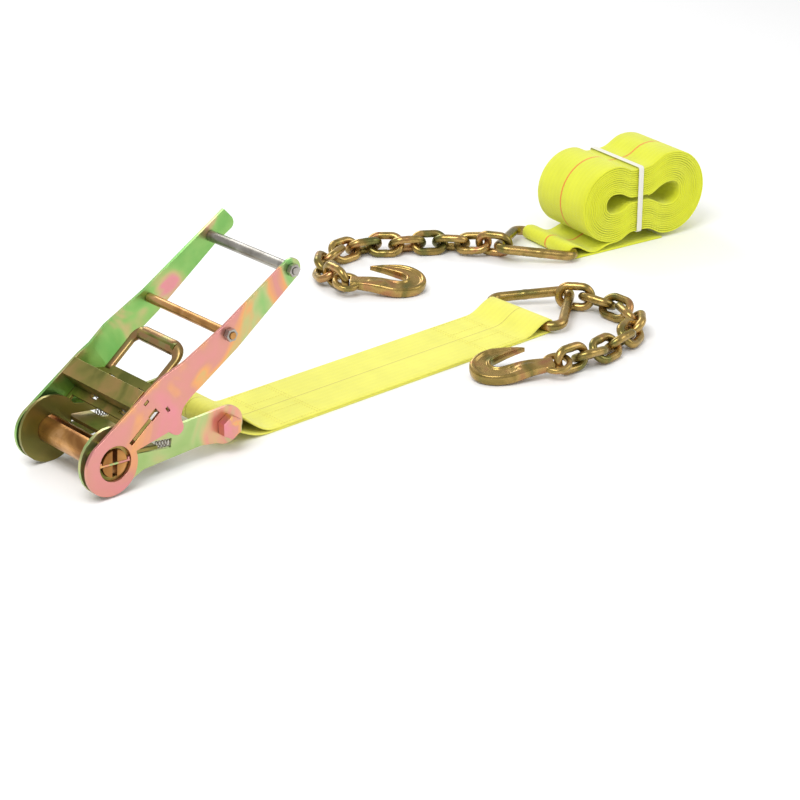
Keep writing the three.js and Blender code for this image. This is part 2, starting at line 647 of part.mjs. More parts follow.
const ROLL = { left: 54, right: 58, span: 96, waist: 44, from: 34, to: 50, x: 66 };
const ROLL_Z = FLAT - GAP + ROLL.right; // middle of the roll, pressed down on its own tail
function rollShape() {
  const { left, right, span, waist, from, to } = ROLL;
  const shape = new THREE.Shape();
  shape.absarc(0, 0, left, rad(90), rad(270), false);
  shape.bezierCurveTo(from * 0.6, -left, from * 0.6, -waist, from, -waist);
  shape.lineTo(to, -waist);
  shape.bezierCurveTo(to + 22, -waist, to + 22, -right, span, -right);
  shape.absarc(span, 0, right, rad(-90), rad(90), false);
  shape.bezierCurveTo(to + 22, right, to + 22, waist, to, waist);
  shape.lineTo(from, waist);
  shape.bezierCurveTo(from * 0.6, waist, from * 0.6, left, 0, left);
  return shape;
}
const TAIL_END = ROLL.x + ROLL.span + 8;
function tailProfile() {
  const ringR = RING.wire + GAP;
  const ringZ = ringR + PLY;
  const shape = new THREE.Shape();
  shape.moveTo(TAIL_END, 0);
  shape.lineTo(TAIL_END, FLAT);
  shape.lineTo(40, FLAT);
  shape.bezierCurveTo(26, FLAT, 16, 2 * ringZ, 0, 2 * ringZ);
  shape.absarc(0, ringZ, ringZ, rad(90), rad(270), false);
  shape.closePath();
  roundHole(shape, 0, ringZ, ringR);
  return shape;
}
const rollSolid = plate(rollShape(), -WEBBING / 2, WEBBING / 2, 10).translate(ROLL.x, 0, ROLL_Z);
const tailSolid = plate(tailProfile(), -WEBBING / 2, WEBBING / 2, 12);
add(long, "long_strap", join(rollSolid, tailSolid), WEB_YELLOW);

const BAND = { half: 3.5, thick: 1.6, slack: 1.2 };
function bandGeometry() {
  const halfZ = ROLL.waist + BAND.slack;
  const halfY = WEBBING / 2 + GAP;
  const rect = (grow) => {
    const [y, z, r] = [halfY + grow, halfZ + grow, 0.8 + grow];
    const shape = new THREE.Shape();
    shape.moveTo(y, -z + r);
    shape.lineTo(y, z - r);
    shape.absarc(y - r, z - r, r, 0, rad(90), false);
    shape.absarc(-y + r, z - r, r, rad(90), rad(180), false);
    shape.absarc(-y + r, -z + r, r, rad(180), rad(270), false);
    shape.absarc(y - r, -z + r, r, rad(270), rad(360), false);
    return shape;
  };
  const rod = (grow, depth) =>
    new THREE.ExtrudeGeometry(rect(grow), { depth, bevelEnabled: false, curveSegments: 4 });
  const hoop = rod(BAND.thick, 2 * BAND.half);
  const inside = rod(0, 40).translate(0, 0, -15);
  const across = cut(hoop, inside);
  // stand the hoop up: its depth runs along X, its outline lies in Y and Z
  across.applyMatrix4(new THREE.Matrix4().makeBasis(
    new THREE.Vector3(0, 1, 0), new THREE.Vector3(0, 0, 1), new THREE.Vector3(1, 0, 0),
  ));
  return across.translate(ROLL.x + (ROLL.from + ROLL.to) / 2 - BAND.half, 0, ROLL_Z);
}
add(long, "elastic_band", bandGeometry(), BAND_WHITE);

layAnchor(long, "long", {
  bar: { x: 0, y: 0 },
  ringHeading: 180,
  headings: [128, 132, 140, 154, 156, 147, 168, 190, 211, 232, 252, 272],
  side: 1,
  hook: { heading: -32, roll: 13, tip: 5.2 },
});

// The origin is the middle of the footprint, on the floor.
kit.updateMatrixWorld(true);
const extent = new THREE.Box3().setFromObject(kit, true);
const footprint = extent.getCenter(new THREE.Vector3());
kit.position.set(-footprint.x, -footprint.y, 0);

export default kit;
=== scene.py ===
import json
import math

import bmesh
import bpy
import numpy as np
from mathutils import Matrix, Vector


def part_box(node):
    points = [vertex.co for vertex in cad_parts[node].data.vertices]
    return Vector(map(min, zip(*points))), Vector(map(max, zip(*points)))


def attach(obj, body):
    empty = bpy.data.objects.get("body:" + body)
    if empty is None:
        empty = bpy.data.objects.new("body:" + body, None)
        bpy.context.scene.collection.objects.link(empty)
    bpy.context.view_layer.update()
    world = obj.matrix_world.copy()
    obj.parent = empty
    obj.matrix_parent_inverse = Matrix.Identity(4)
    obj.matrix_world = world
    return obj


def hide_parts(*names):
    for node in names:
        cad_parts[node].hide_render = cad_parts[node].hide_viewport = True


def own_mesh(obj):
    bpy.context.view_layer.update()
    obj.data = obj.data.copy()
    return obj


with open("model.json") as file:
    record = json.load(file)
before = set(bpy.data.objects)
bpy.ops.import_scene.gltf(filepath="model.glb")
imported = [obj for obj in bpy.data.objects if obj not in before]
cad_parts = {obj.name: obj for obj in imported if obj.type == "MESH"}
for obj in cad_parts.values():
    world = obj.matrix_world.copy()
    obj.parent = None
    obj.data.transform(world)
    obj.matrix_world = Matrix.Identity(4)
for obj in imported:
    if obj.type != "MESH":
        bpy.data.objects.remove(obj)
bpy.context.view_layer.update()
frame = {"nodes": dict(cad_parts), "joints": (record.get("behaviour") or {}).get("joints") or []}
MM = 0.001

EYE = Vector((-1813.5, -2020.8, 1115.0)) * MM
PITCH, YAW = 66.03, -41.86
LENS = 108.0

camera = bpy.data.objects.new("camera", bpy.data.cameras.new("camera"))
camera.data.lens = LENS
camera.data.sensor_width = 36.0
camera.data.clip_end = 50.0
camera.location = EYE
camera.rotation_euler = (math.radians(PITCH), 0.0, math.radians(YAW))
bpy.context.scene.collection.objects.link(camera)
bpy.context.scene.camera = camera

FLOOR = 30.0
floor_mesh = bpy.data.meshes.new("floor")
floor_corners = [(-FLOOR, -FLOOR, 0), (FLOOR, -FLOOR, 0), (FLOOR, FLOOR, 0), (-FLOOR, FLOOR, 0)]
floor_mesh.from_pydata(floor_corners, [], [(0, 1, 2, 3)])
floor = bpy.data.objects.new("floor", floor_mesh)
bpy.context.scene.collection.objects.link(floor)
floor_paint = bpy.data.materials.new("floor_paint")
floor_paint.use_nodes = True
floor_paint.node_tree.nodes["Principled BSDF"].inputs["Base Color"].default_value = (0.93, 0.93, 0.93, 1)
floor_paint.node_tree.nodes["Principled BSDF"].inputs["Roughness"].default_value = 0.9
floor_mesh.materials.append(floor_paint)

world = bpy.data.worlds.new("studio_air")
world.use_nodes = True
world.node_tree.nodes["Background"].inputs["Color"].default_value = (1.0, 1.0, 1.0, 1)
world.node_tree.nodes["Background"].inputs["Strength"].default_value = 0.62
bpy.context.scene.world = world
bpy.context.scene.view_settings.view_transform = "Standard"


def soft_lamp(name, place, aim, size, power):
    lamp = bpy.data.lights.new(name, "AREA")
    lamp.size = size
    lamp.energy = power
    holder = bpy.data.objects.new(name, lamp)
    holder.location = place
    holder.rotation_euler = (Vector(aim) - Vector(place)).to_track_quat("-Z", "Y").to_euler()
    bpy.context.scene.collection.objects.link(holder)


soft_lamp("key", (-1.4, -0.6, 2.2), (0, 0, 0), 1.4, 42)
soft_lamp("fill", (1.6, -1.8, 1.5), (0, 0, 0), 1.6, 16)
soft_lamp("back", (0.6, 2.0, 1.4), (0, 0, 0.05), 1.2, 18)

# ---- Ratchet plates ----
# Pressed steel plates with iridescent yellow-zinc plating: salmon pink and green run into each other.
# Each keeps the shape of its solid and gets the small rounded edge that the press leaves.
PLATE_EDGE = 0.5 * MM


def plated(name, colours, roughness, grain, pitting=0.1):
    """A plated metal whose colour drifts through the given (place, colour) steps."""
    made = bpy.data.materials.new(name)
    made.use_nodes = True
    nodes, links = made.node_tree.nodes, made.node_tree.links
    surface = nodes["Principled BSDF"]
    surface.inputs["Metallic"].default_value = 0.9
    where = nodes.new("ShaderNodeTexCoord")
    drift = nodes.new("ShaderNodeTexNoise")
    drift.inputs["Scale"].default_value = grain
    drift.inputs["Detail"].default_value = 3.0
    drift.inputs["Distortion"].default_value = 0.8
    links.new(where.outputs["Object"], drift.inputs["Vector"])
    ramp = nodes.new("ShaderNodeValToRGB")
    while len(ramp.color_ramp.elements) < len(colours):
        ramp.color_ramp.elements.new(0.5)
    for step, (place, colour) in zip(ramp.color_ramp.elements, colours):
        step.position = place
        step.color = (*colour, 1)
    links.new(drift.outputs["Fac"], ramp.inputs["Fac"])
    links.new(ramp.outputs["Color"], surface.inputs["Base Color"])
    haze = nodes.new("ShaderNodeTexNoise")
    haze.inputs["Scale"].default_value = grain * 9
    haze.inputs["Detail"].default_value = 5.0
    links.new(where.outputs["Object"], haze.inputs["Vector"])
    spread = nodes.new("ShaderNodeMapRange")
    spread.inputs["To Min"].default_value = roughness - 0.08
    spread.inputs["To Max"].default_value = roughness + 0.12
    links.new(haze.outputs["Fac"], spread.inputs["Value"])
    links.new(spread.outputs["Result"], surface.inputs["Roughness"])
    pits = nodes.new("ShaderNodeTexNoise")
    pits.inputs["Scale"].default_value = 900.0
    pits.inputs["Detail"].default_value = 2.0
    links.new(where.outputs["Object"], pits.inputs["Vector"])
    bump = nodes.new("ShaderNodeBump")
    bump.inputs["Strength"].default_value = pitting
    bump.inputs["Distance"].default_value = 0.0004
    links.new(pits.outputs["Fac"], bump.inputs["Height"])
    links.new(bump.outputs["Normal"], surface.inputs["Normal"])
    return made


def finished(node, body, material, edge):
    """A node's own shape with its flat faces made whole and its edges rounded over."""
    mesh = frame["nodes"][node].data.copy()
    shape = bmesh.new()
    shape.from_mesh(mesh)
    bmesh.ops.remove_doubles(shape, verts=shape.verts, dist=1e-6)
    bmesh.ops.dissolve_limit(shape, angle_limit=math.radians(1), verts=shape.verts, edges=shape.edges)
    shape.to_mesh(mesh)
    shape.free()
    for face in mesh.polygons:
        face.use_smooth = True
    mesh.set_sharp_from_angle(angle=math.radians(40))
    mesh.materials.clear()
    mesh.materials.append(material)
    piece = bpy.data.objects.new(node + "_finish", mesh)
    bpy.context.scene.collection.objects.link(piece)
    rounding = piece.modifiers.new("edge", "BEVEL")
    rounding.width = edge
    rounding.segments = 2
    rounding.limit_method = "ANGLE"
    rounding.angle_limit = math.radians(40)
    rounding.harden_normals = True
    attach(piece, body)
    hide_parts(node)


ZINC_PINK = [
    (0.30, (0.24, 0.52, 0.16)), (0.38, (0.46, 0.52, 0.22)), (0.44, (0.78, 0.38, 0.15)),
    (0.52, (0.66, 0.30, 0.24)), (0.66, (0.72, 0.27, 0.30)),
]
ZINC_GREEN = [
    (0.34, (0.24, 0.46, 0.12)), (0.46, (0.42, 0.55, 0.22)), (0.56, (0.66, 0.46, 0.24)),
    (0.62, (0.74, 0.34, 0.26)), (0.72, (0.40, 0.54, 0.24)),
]
pink_zinc = plated("pink_zinc", ZINC_PINK, 0.30, 11)
green_zinc = plated("green_zinc", ZINC_GREEN, 0.32, 13)
ZINC_MIXED = [
    (0.34, (0.18, 0.44, 0.11)), (0.45, (0.28, 0.52, 0.15)), (0.51, (0.56, 0.46, 0.22)),
    (0.56, (0.72, 0.28, 0.32)), (0.70, (0.58, 0.34, 0.20)),
]
# Painted shade: the far frame plate gets this darker brown copy of the zinc for its shaded side, over the plating's own
# colour drift.
ZINC_SHADED_BROWN = [
    (0.34, (0.16, 0.18, 0.04)), (0.50, (0.34, 0.26, 0.09)), (0.62, (0.46, 0.24, 0.12)), (0.72, (0.26, 0.30, 0.10)),
]
mixed_zinc = plated("mixed_zinc", ZINC_MIXED, 0.32, 10)
far_plate_shaded_zinc = plated("far_plate_shaded_zinc", ZINC_SHADED_BROWN, 0.34, 10)
finished("lever_plate_near", "lever", pink_zinc, PLATE_EDGE)
finished("lever_plate_far", "lever", mixed_zinc, PLATE_EDGE)
finished("frame_plate_near", "frame", green_zinc, PLATE_EDGE)
# Painted shade: the far frame plate is dimmed with the darker brown copy of the plating.
finished("frame_plate_far", "frame", far_plate_shaded_zinc, PLATE_EDGE)

# ---- Wheels, pawls and bridge ----
# Thicker steel parts with a darker olive-gold plating, cut and folded from plate.
OLIVE = [(0.34, (0.14, 0.15, 0.03)), (0.48, (0.27, 0.24, 0.06)), (0.60, (0.40, 0.26, 0.09)), (0.70, (0.24, 0.28, 0.08))]
olive_zinc = plated("olive_zinc", OLIVE, 0.36, 20)
for node, body in (
    ("ratchet_wheel_near", "spindle"), ("ratchet_wheel_far", "spindle"), ("stop_pawl", "stop_pawl"),
    ("drive_pawl", "drive_pawl"), ("bridge_channel", "lever"),
):
    finished(node, body, olive_zinc, 0.4 * MM)

# ---- Bars, bolt and nuts ----
# Turned bars: copper-toned plating on the spindle, spacer and middle bar, bare grey steel on the grip.
COPPER = [(0.35, (0.28, 0.12, 0.03)), (0.55, (0.52, 0.26, 0.08)), (0.70, (0.70, 0.40, 0.18))]
GREY = [(0.35, (0.24, 0.22, 0.19)), (0.65, (0.44, 0.42, 0.38))]
copper_tone = plated("copper_tone", COPPER, 0.3, 24)
grey_steel = plated("grey_steel", GREY, 0.32, 30)
bolt_zinc = plated("bolt_zinc", ZINC_PINK, 0.3, 40)
for node, body in (
    ("spindle_bar_upper", "spindle"), ("spindle_bar_lower", "spindle"), ("mid_bar", "lever"), ("spacer_tube", "frame"),
):
    finished(node, body, copper_tone, 0.4 * MM)
for node in ("grip_bar", "mid_bar_nut_near", "mid_bar_nut_far", "grip_bar_nut_near", "grip_bar_nut_far"):
    finished(node, "lever", grey_steel, 0.6 * MM)
for node in ("base_bolt", "base_nut"):
    finished(node, "frame", bolt_zinc, 0.8 * MM)
for node in ("retaining_pin_near", "retaining_pin_far"):
    finished(node, "spindle", bolt_zinc, 0.2 * MM)

# ---- Finger pull ----
# The pawl's own plate is folded into a smooth rolled D for the fingers, wider and rounder along its
# top than on its legs, with a dark plating that noise drifts to brown; the real pull is worn brown where it is gripped.
PULL_FROM, PULL_TO, PULL_HALF, PULL_CORNER = 88.0, 141.0, 39.5, 13.0
LEG_WIDE, LEG_THICK, TOP_WIDE, TOP_THICK = 5.2, 2.8, 8.6, 6.2


def joint_of(child):
    return next(j for j in frame["joints"] if j["child"] == child)


def pull_line():
    """Half of the D, from a leg's foot round its corner to the middle of the top, as u, y and bend share."""
    line = [(PULL_FROM + (PULL_TO - PULL_CORNER - PULL_FROM) * k / 8, PULL_HALF, 0.0) for k in range(9)]
    for k in range(1, 9):
        a = math.radians(90 * k / 8)
        line.append((
            PULL_TO - PULL_CORNER + PULL_CORNER * math.sin(a), PULL_HALF - PULL_CORNER * (1 - math.cos(a)), k / 8,
        ))
    return line + [(PULL_TO, (PULL_HALF - PULL_CORNER) * (1 - k / 6), 1.0) for k in range(1, 7)]


def finger_pull():
    half = pull_line()
    line = half + [(u, -y, bend) for u, y, bend in reversed(half[:-1])]
    shape = bmesh.new()
    loops = []
    for i, (u, y, bend) in enumerate(line):
        a, b = line[max(i - 1, 0)], line[min(i + 1, len(line) - 1)]
        run = Vector((b[0] - a[0], b[1] - a[1], 0)).normalized()
        out = Vector((run.y, -run.x, 0))
        wide, thick = LEG_WIDE + (TOP_WIDE - LEG_WIDE) * bend, LEG_THICK + (TOP_THICK - LEG_THICK) * bend
        loop = []
        for k in range(20):
            t = 2 * math.pi * k / 20
            x = wide * math.copysign(abs(math.cos(t)) ** 0.8, math.cos(t))
            z = thick * math.copysign(abs(math.sin(t)) ** 0.8, math.sin(t)) + 1.5 * bend
            loop.append(shape.verts.new((Vector((u, y, z)) + out * x) * MM))
        loops.append(loop)
    for a, b in zip(loops, loops[1:]):
        for k in range(20):
            shape.faces.new((a[k], a[(k + 1) % 20], b[(k + 1) % 20], b[k])).smooth = True
    shape.faces.new(loops[0])
    shape.faces.new(list(reversed(loops[-1])))
    bmesh.ops.recalc_face_normals(shape, faces=shape.faces)
    return shape


slide = Vector(joint_of("drive_pawl")["axis"]).normalized()
axle = Vector(joint_of("lever")["pos_m"])
pawl_place = Matrix((
    (slide.x, 0, -slide.z, axle.x), (slide.y, 1, 0, axle.y), (slide.z, 0, slide.x, axle.z), (0, 0, 0, 1),
))
pull_shape = finger_pull()
pull_shape.transform(pawl_place)
pull_mesh = bpy.data.meshes.new("finger_pull")
pull_shape.to_mesh(pull_mesh)
pull_shape.free()
PULL_TONES = [(0.34, (0.20, 0.16, 0.05)), (0.52, (0.36, 0.20, 0.09)), (0.68, (0.30, 0.28, 0.10))]
pull_zinc = plated("pull_zinc", PULL_TONES, 0.3, 28)
pull_mesh.materials.append(pull_zinc)
pull = bpy.data.objects.new("finger_pull", pull_mesh)
bpy.context.scene.collection.objects.link(pull)
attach(pull, "drive_pawl")

# ---- Return springs ----
# Four small coils of bare spring wire push the pawls into the wheels' teeth. Each sits between its
# pawl's tail and a fixed wall; the real spring shortens as the pawl is drawn back, but each coil here is built at one
# fixed length.
COIL_R, COIL_WIRE, COIL_TURNS = 3.5 * MM, 0.6 * MM, 5.0


def new_tree(name, sizes):
    """An empty geometry tree with named size inputs; close_tree later ends it in realised, painted geometry."""
    tree = bpy.data.node_groups.new(name, "GeometryNodeTree")
    tree.interface.new_socket("Geometry", in_out="INPUT", socket_type="NodeSocketGeometry")
    tree.interface.new_socket("Geometry", in_out="OUTPUT", socket_type="NodeSocketGeometry")
    for label, value in sizes.items():
        socket = tree.interface.new_socket(label, in_out="INPUT", socket_type="NodeSocketFloat")
        socket.default_value = value
    return tree, tree.nodes.new("NodeGroupInput"), tree.nodes.new("NodeGroupOutput")


def close_tree(tree, made, end, material):
    real = tree.nodes.new("GeometryNodeRealizeInstances")
    paint = tree.nodes.new("GeometryNodeSetMaterial")
    paint.inputs["Material"].default_value = material
    tree.links.new(made, real.inputs["Geometry"])
    tree.links.new(real.outputs["Geometry"], paint.inputs["Geometry"])
    tree.links.new(paint.outputs["Geometry"], end.inputs[0])


def grown(tree, base=None, **sizes):
    """Runs a tree on a base mesh or curve, with its sizes set, and returns the plain mesh it makes."""
    holder = bpy.data.objects.new("holder", base or bpy.data.meshes.new("holder"))
    bpy.context.scene.collection.objects.link(holder)
    modifier = holder.modifiers.new("tree", "NODES")
    modifier.node_group = tree
    for item in tree.interface.items_tree:
        if item.in_out == "INPUT" and item.name in sizes:
            modifier[item.identifier] = sizes[item.name]
    bpy.context.view_layer.update()
    result = bpy.data.meshes.new_from_object(holder.evaluated_get(bpy.context.evaluated_depsgraph_get()))
    bpy.data.objects.remove(holder)
    return result


COIL_SIZES = {"Radius": COIL_R, "Wire": COIL_WIRE, "Turns": COIL_TURNS, "Long": 20 * MM}
coil_tree, coil_in, coil_out = new_tree("coil_spring", COIL_SIZES)
helix = coil_tree.nodes.new("GeometryNodeCurveSpiral")
helix.inputs["Resolution"].default_value = 20
for socket, size in (("Start Radius", "Radius"), ("End Radius", "Radius"), ("Rotations", "Turns"), ("Height", "Long")):
    coil_tree.links.new(coil_in.outputs[size], helix.inputs[socket])
coil_bar = coil_tree.nodes.new("GeometryNodeCurvePrimitiveCircle")
coil_bar.inputs["Resolution"].default_value = 10
coil_tree.links.new(coil_in.outputs["Wire"], coil_bar.inputs["Radius"])
coil_sweep = coil_tree.nodes.new("GeometryNodeCurveToMesh")
coil_sweep.inputs["Fill Caps"].default_value = True
coil_tree.links.new(helix.outputs["Curve"], coil_sweep.inputs["Curve"])
coil_tree.links.new(coil_bar.outputs["Curve"], coil_sweep.inputs["Profile Curve"])
coil_smooth = coil_tree.nodes.new("GeometryNodeSetShadeSmooth")
coil_tree.links.new(coil_sweep.outputs["Mesh"], coil_smooth.inputs["Geometry"])
close_tree(coil_tree, coil_smooth.outputs["Geometry"], coil_out, grey_steel)

for name, pawl, body in (("drive", "drive_pawl", "lever"), ("stop", "stop_pawl", "frame")):
    motion = joint_of(pawl)
    back = Vector(motion["axis"]).normalized()
    for side in ("near", "far"):
        node = f"{name}_spring_{side}"
        points = [v.co for v in frame["nodes"][node].data.vertices]
        run = [p.dot(back) for p in points]
        low, high = min(run) + COIL_WIRE, max(run) - COIL_WIRE
        middle = sum(points, Vector()) / len(points)
        seat = middle - middle.dot(back) * back + low * back
        coil = bpy.data.objects.new(node + "_coil", grown(coil_tree, Long=high - low))
        coil.data.transform(Matrix.Translation(seat) @ back.to_track_quat("Z", "Y").to_matrix().to_4x4())
        bpy.context.scene.collection.objects.link(coil)
        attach(coil, body)
        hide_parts(node)
        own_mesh(coil)

# ---- Chain links ----
# Short-link chain: round steel wire bent to an oval and butt welded in one leg, then plated a bronze
# gold; its darkest tones are painted shade for the recesses, scattered by noise. One tree makes the oval, and each copy
# is laid on its solid.
WIRE_R = 5.1 * MM
BEND_R = 12.9 * MM
HALF_STRAIGHT = 7.75 * MM
CHAIN_TONES_WITH_SHADE = [
    (0.30, (0.17, 0.17, 0.05)), (0.45, (0.30, 0.21, 0.06)), (0.56, (0.46, 0.31, 0.10)), (0.70, (0.42, 0.20, 0.09)),
]
chain_gold = plated("chain_gold", CHAIN_TONES_WITH_SHADE, 0.24, 32, 0.03)


def wire_end(tree, path, weld, radius, start, sides):
    """Turns a closed path into round wire, a little thicker where weld is 1."""
    swell = tree.nodes.new("ShaderNodeMath")
    swell.operation = "MULTIPLY_ADD"
    swell.inputs[1].default_value = 0.05
    swell.inputs[2].default_value = 1.0
    tree.links.new(weld, swell.inputs[0])
    round_bar = tree.nodes.new("GeometryNodeCurvePrimitiveCircle")
    round_bar.inputs["Resolution"].default_value = sides
    tree.links.new(start.outputs[radius], round_bar.inputs["Radius"])
    sweep = tree.nodes.new("GeometryNodeCurveToMesh")
    tree.links.new(swell.outputs[0], sweep.inputs["Scale"])
    tree.links.new(path, sweep.inputs["Curve"])
    tree.links.new(round_bar.outputs["Curve"], sweep.inputs["Profile Curve"])
    smooth = tree.nodes.new("GeometryNodeSetShadeSmooth")
    tree.links.new(sweep.outputs["Mesh"], smooth.inputs["Geometry"])
    return smooth.outputs["Geometry"]


def weld_at(tree, away):
    """1 where away, a distance along the wire in metres, is small, falling to 0 over about 4 mm."""
    near = tree.nodes.new("ShaderNodeMapRange")
    near.interpolation_type = "SMOOTHSTEP"
    near.inputs["From Min"].default_value = 0.0042
    near.inputs["From Max"].default_value = 0.0012
    tree.links.new(away, near.inputs["Value"])
    return near.outputs["Result"]


link_tree, link_in, link_out = new_tree("bent_link", {"Bend": BEND_R, "Straight": HALF_STRAIGHT, "Wire": WIRE_R})
oval = link_tree.nodes.new("GeometryNodeCurvePrimitiveCircle")
oval.inputs["Resolution"].default_value = 48
link_tree.links.new(link_in.outputs["Bend"], oval.inputs["Radius"])
spot = link_tree.nodes.new("GeometryNodeInputPosition")
parts = link_tree.nodes.new("ShaderNodeSeparateXYZ")
link_tree.links.new(spot.outputs[0], parts.inputs[0])
side = link_tree.nodes.new("ShaderNodeMath")
side.operation = "SIGN"
link_tree.links.new(parts.outputs["X"], side.inputs[0])
push = link_tree.nodes.new("ShaderNodeMath")
push.operation = "MULTIPLY"
link_tree.links.new(side.outputs[0], push.inputs[0])
link_tree.links.new(link_in.outputs["Straight"], push.inputs[1])
shift = link_tree.nodes.new("ShaderNodeCombineXYZ")
link_tree.links.new(push.outputs[0], shift.inputs["X"])
pull_apart = link_tree.nodes.new("GeometryNodeSetPosition")
link_tree.links.new(oval.outputs["Curve"], pull_apart.inputs["Geometry"])
link_tree.links.new(shift.outputs[0], pull_apart.inputs["Offset"])
even = link_tree.nodes.new("GeometryNodeResampleCurve")
even.mode = "COUNT"
even.inputs["Count"].default_value = 56
link_tree.links.new(pull_apart.outputs["Geometry"], even.inputs["Curve"])
spot_after = link_tree.nodes.new("GeometryNodeInputPosition")
parts_after = link_tree.nodes.new("ShaderNodeSeparateXYZ")
link_tree.links.new(spot_after.outputs[0], parts_after.inputs[0])
to_weld = link_tree.nodes.new("ShaderNodeVectorMath")
to_weld.operation = "DISTANCE"
to_weld.inputs[1].default_value = (0, BEND_R, 0)
link_tree.links.new(spot_after.outputs[0], to_weld.inputs[0])
link_weld = weld_at(link_tree, to_weld.outputs["Value"])
link_made = wire_end(link_tree, even.outputs["Curve"], link_weld, "Wire", link_in, 16)
close_tree(link_tree, link_made, link_out, chain_gold)
link_mesh = grown(link_tree)


def lie_of(node):
    """The place and turn of a long flat solid: its length on X, its width on Y, its flat normal on Z."""
    points = np.array([v.co for v in frame["nodes"][node].data.vertices])
    points = np.unique(points.round(6), axis=0)
    middle = (points.min(axis=0) + points.max(axis=0)) / 2
    _, axes = np.linalg.eigh(np.cov((points - points.mean(axis=0)).T))
    along, flat = Vector(axes[:, 2]), Vector(axes[:, 0])
    width = flat.cross(along)
    return Matrix((
        (along.x, width.x, flat.x, middle[0]),
        (along.y, width.y, flat.y, middle[1]),
        (along.z, width.z, flat.z, middle[2]),
        (0, 0, 0, 1),
    ))


def laid(mesh, place, name, body, node):
    """A copy of a mesh at a place, riding on a body and standing for a node."""
    piece = bpy.data.objects.new(name, mesh.copy())
    piece.data.transform(place)
    bpy.context.scene.collection.objects.link(piece)
    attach(piece, body)
    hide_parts(node)


for node in sorted(frame["nodes"]):
    if "_link_" in node:
        laid(link_mesh, lie_of(node), node + "_forged", node, node)

# ---- Delta rings ----
# Round bar bent to a triangle, with a loop's width of straight bar and a tight apex, and welded in one side.
RING_WIRE = 6.35 * MM
RING_CORNERS = [(0, -71.3), (91, 0), (0, 71.3)]
CORNER_R = 13.0 * MM


def ring_base():
    curve = bpy.data.curves.new("ring_line", "CURVE")
    curve.dimensions = "3D"
    spline = curve.splines.new("POLY")
    spline.points.add(2)
    for point, (x, y) in zip(spline.points, RING_CORNERS):
        point.co = (x * MM, y * MM, 0, 1)
    spline.use_cyclic_u = True
    return curve


ring_tree, ring_in, ring_out = new_tree("bent_ring", {"Corner": CORNER_R, "Wire": RING_WIRE})
fillet = ring_tree.nodes.new("GeometryNodeFilletCurve")
fillet.mode = "POLY"
fillet.inputs["Count"].default_value = 14
ring_tree.links.new(ring_in.outputs["Geometry"], fillet.inputs["Curve"])
ring_tree.links.new(ring_in.outputs["Corner"], fillet.inputs["Radius"])
ring_even = ring_tree.nodes.new("GeometryNodeResampleCurve")
ring_even.mode = "COUNT"
ring_even.inputs["Count"].default_value = 150
ring_tree.links.new(fillet.outputs["Curve"], ring_even.inputs["Curve"])
ring_spot = ring_tree.nodes.new("GeometryNodeInputPosition")
to_ring_weld = ring_tree.nodes.new("ShaderNodeVectorMath")
to_ring_weld.operation = "DISTANCE"
to_ring_weld.inputs[1].default_value = (45 * MM, 36 * MM, 0)
ring_tree.links.new(ring_spot.outputs[0], to_ring_weld.inputs[0])
ring_weld = weld_at(ring_tree, to_ring_weld.outputs["Value"])
ring_made = wire_end(ring_tree, ring_even.outputs["Curve"], ring_weld, "Wire", ring_in, 20)
close_tree(ring_tree, ring_made, ring_out, chain_gold)
ring_mesh = grown(ring_tree, ring_base())


def ring_place(node):
    """The bar's middle is the ring's hinge. The apex lies the other way along the ring's flat."""
    hinge = joint_of(node)
    across = Vector(hinge["axis"]).normalized()
    points = np.array([v.co for v in frame["nodes"][node].data.vertices])
    start = Vector(hinge["pos_m"])
    along = Vector(points.mean(axis=0)) - start
    along = (along - along.dot(across) * across).normalized()
    across = across if along.cross(across).z > 0 else -across
    flat = along.cross(across)
    return Matrix((
        (along.x, across.x, flat.x, start.x),
        (along.y, across.y, flat.y, start.y),
        (along.z, across.z, flat.z, start.z),
        (0, 0, 0, 1),
    ))


for node in ("short_delta_ring", "long_delta_ring"):
    laid(ring_mesh, ring_place(node), node + "_forged", node, node)

# ---- Grab hooks ----
# Drop forged: an eye, a tapering shank and a deep bowl with a thick outer band round a thinner web,
# and a pointed tip that flares back to the eye. Both flat sides carry a plain raised oval.
HOOK_EYE_R, HOOK_HOLE_R, HOOK_EYE_HALF = 18.5, 11.0, 3.8
HOOK_RIM = [
    ((4, -9), (4, 9)), ((14, -8.5), (14, 9.5)), ((30, -9.5), (30, 11.5)), ((46, -13), (46, 11)),
    ((62, -15.6), (60, 9.3)), ((80, -12.5), (67, 8.8)), ((94, -3), (72, 11.5)), ((101, 12), (74, 16)),
    ((98, 28), (73, 20.5)), ((87, 39), (69.5, 24)), ((74, 43.8), (64, 26.5)), ((60, 43.8), (55, 30)),
    ((46, 42), (45, 33.3)), ((35, 39.8), (35, 36)), ((28, 38), (28, 37.2)),
]
HOOK_HALF = 7.0
HOOK_WEB_DROP = 3.2
OVAL_X, OVAL_Y, OVAL_RISE, OVAL_TURN = 38.0, -1.0, 6.0, -2.0
OVAL_LONG, OVAL_WIDE, OVAL_HIGH = 12.0, 4.6, 2.0


def smooth_line(points, count):
    """Catmull-Rom through the points, sampled evenly by index."""
    p = [np.array(points[0])] + [np.array(q) for q in points] + [np.array(points[-1])]
    line = []
    for i in range(count):
        t = i / (count - 1) * (len(points) - 1)
        k = min(int(t), len(points) - 2)
        f = t - k
        a, b, c, d = p[k], p[k + 1], p[k + 2], p[k + 3]
        line.append(0.5 * (2 * b + (c - a) * f + (2 * a - 5 * b + 4 * c - d) * f**2 + (3 * b - a - 3 * c + d) * f**3))
    return line


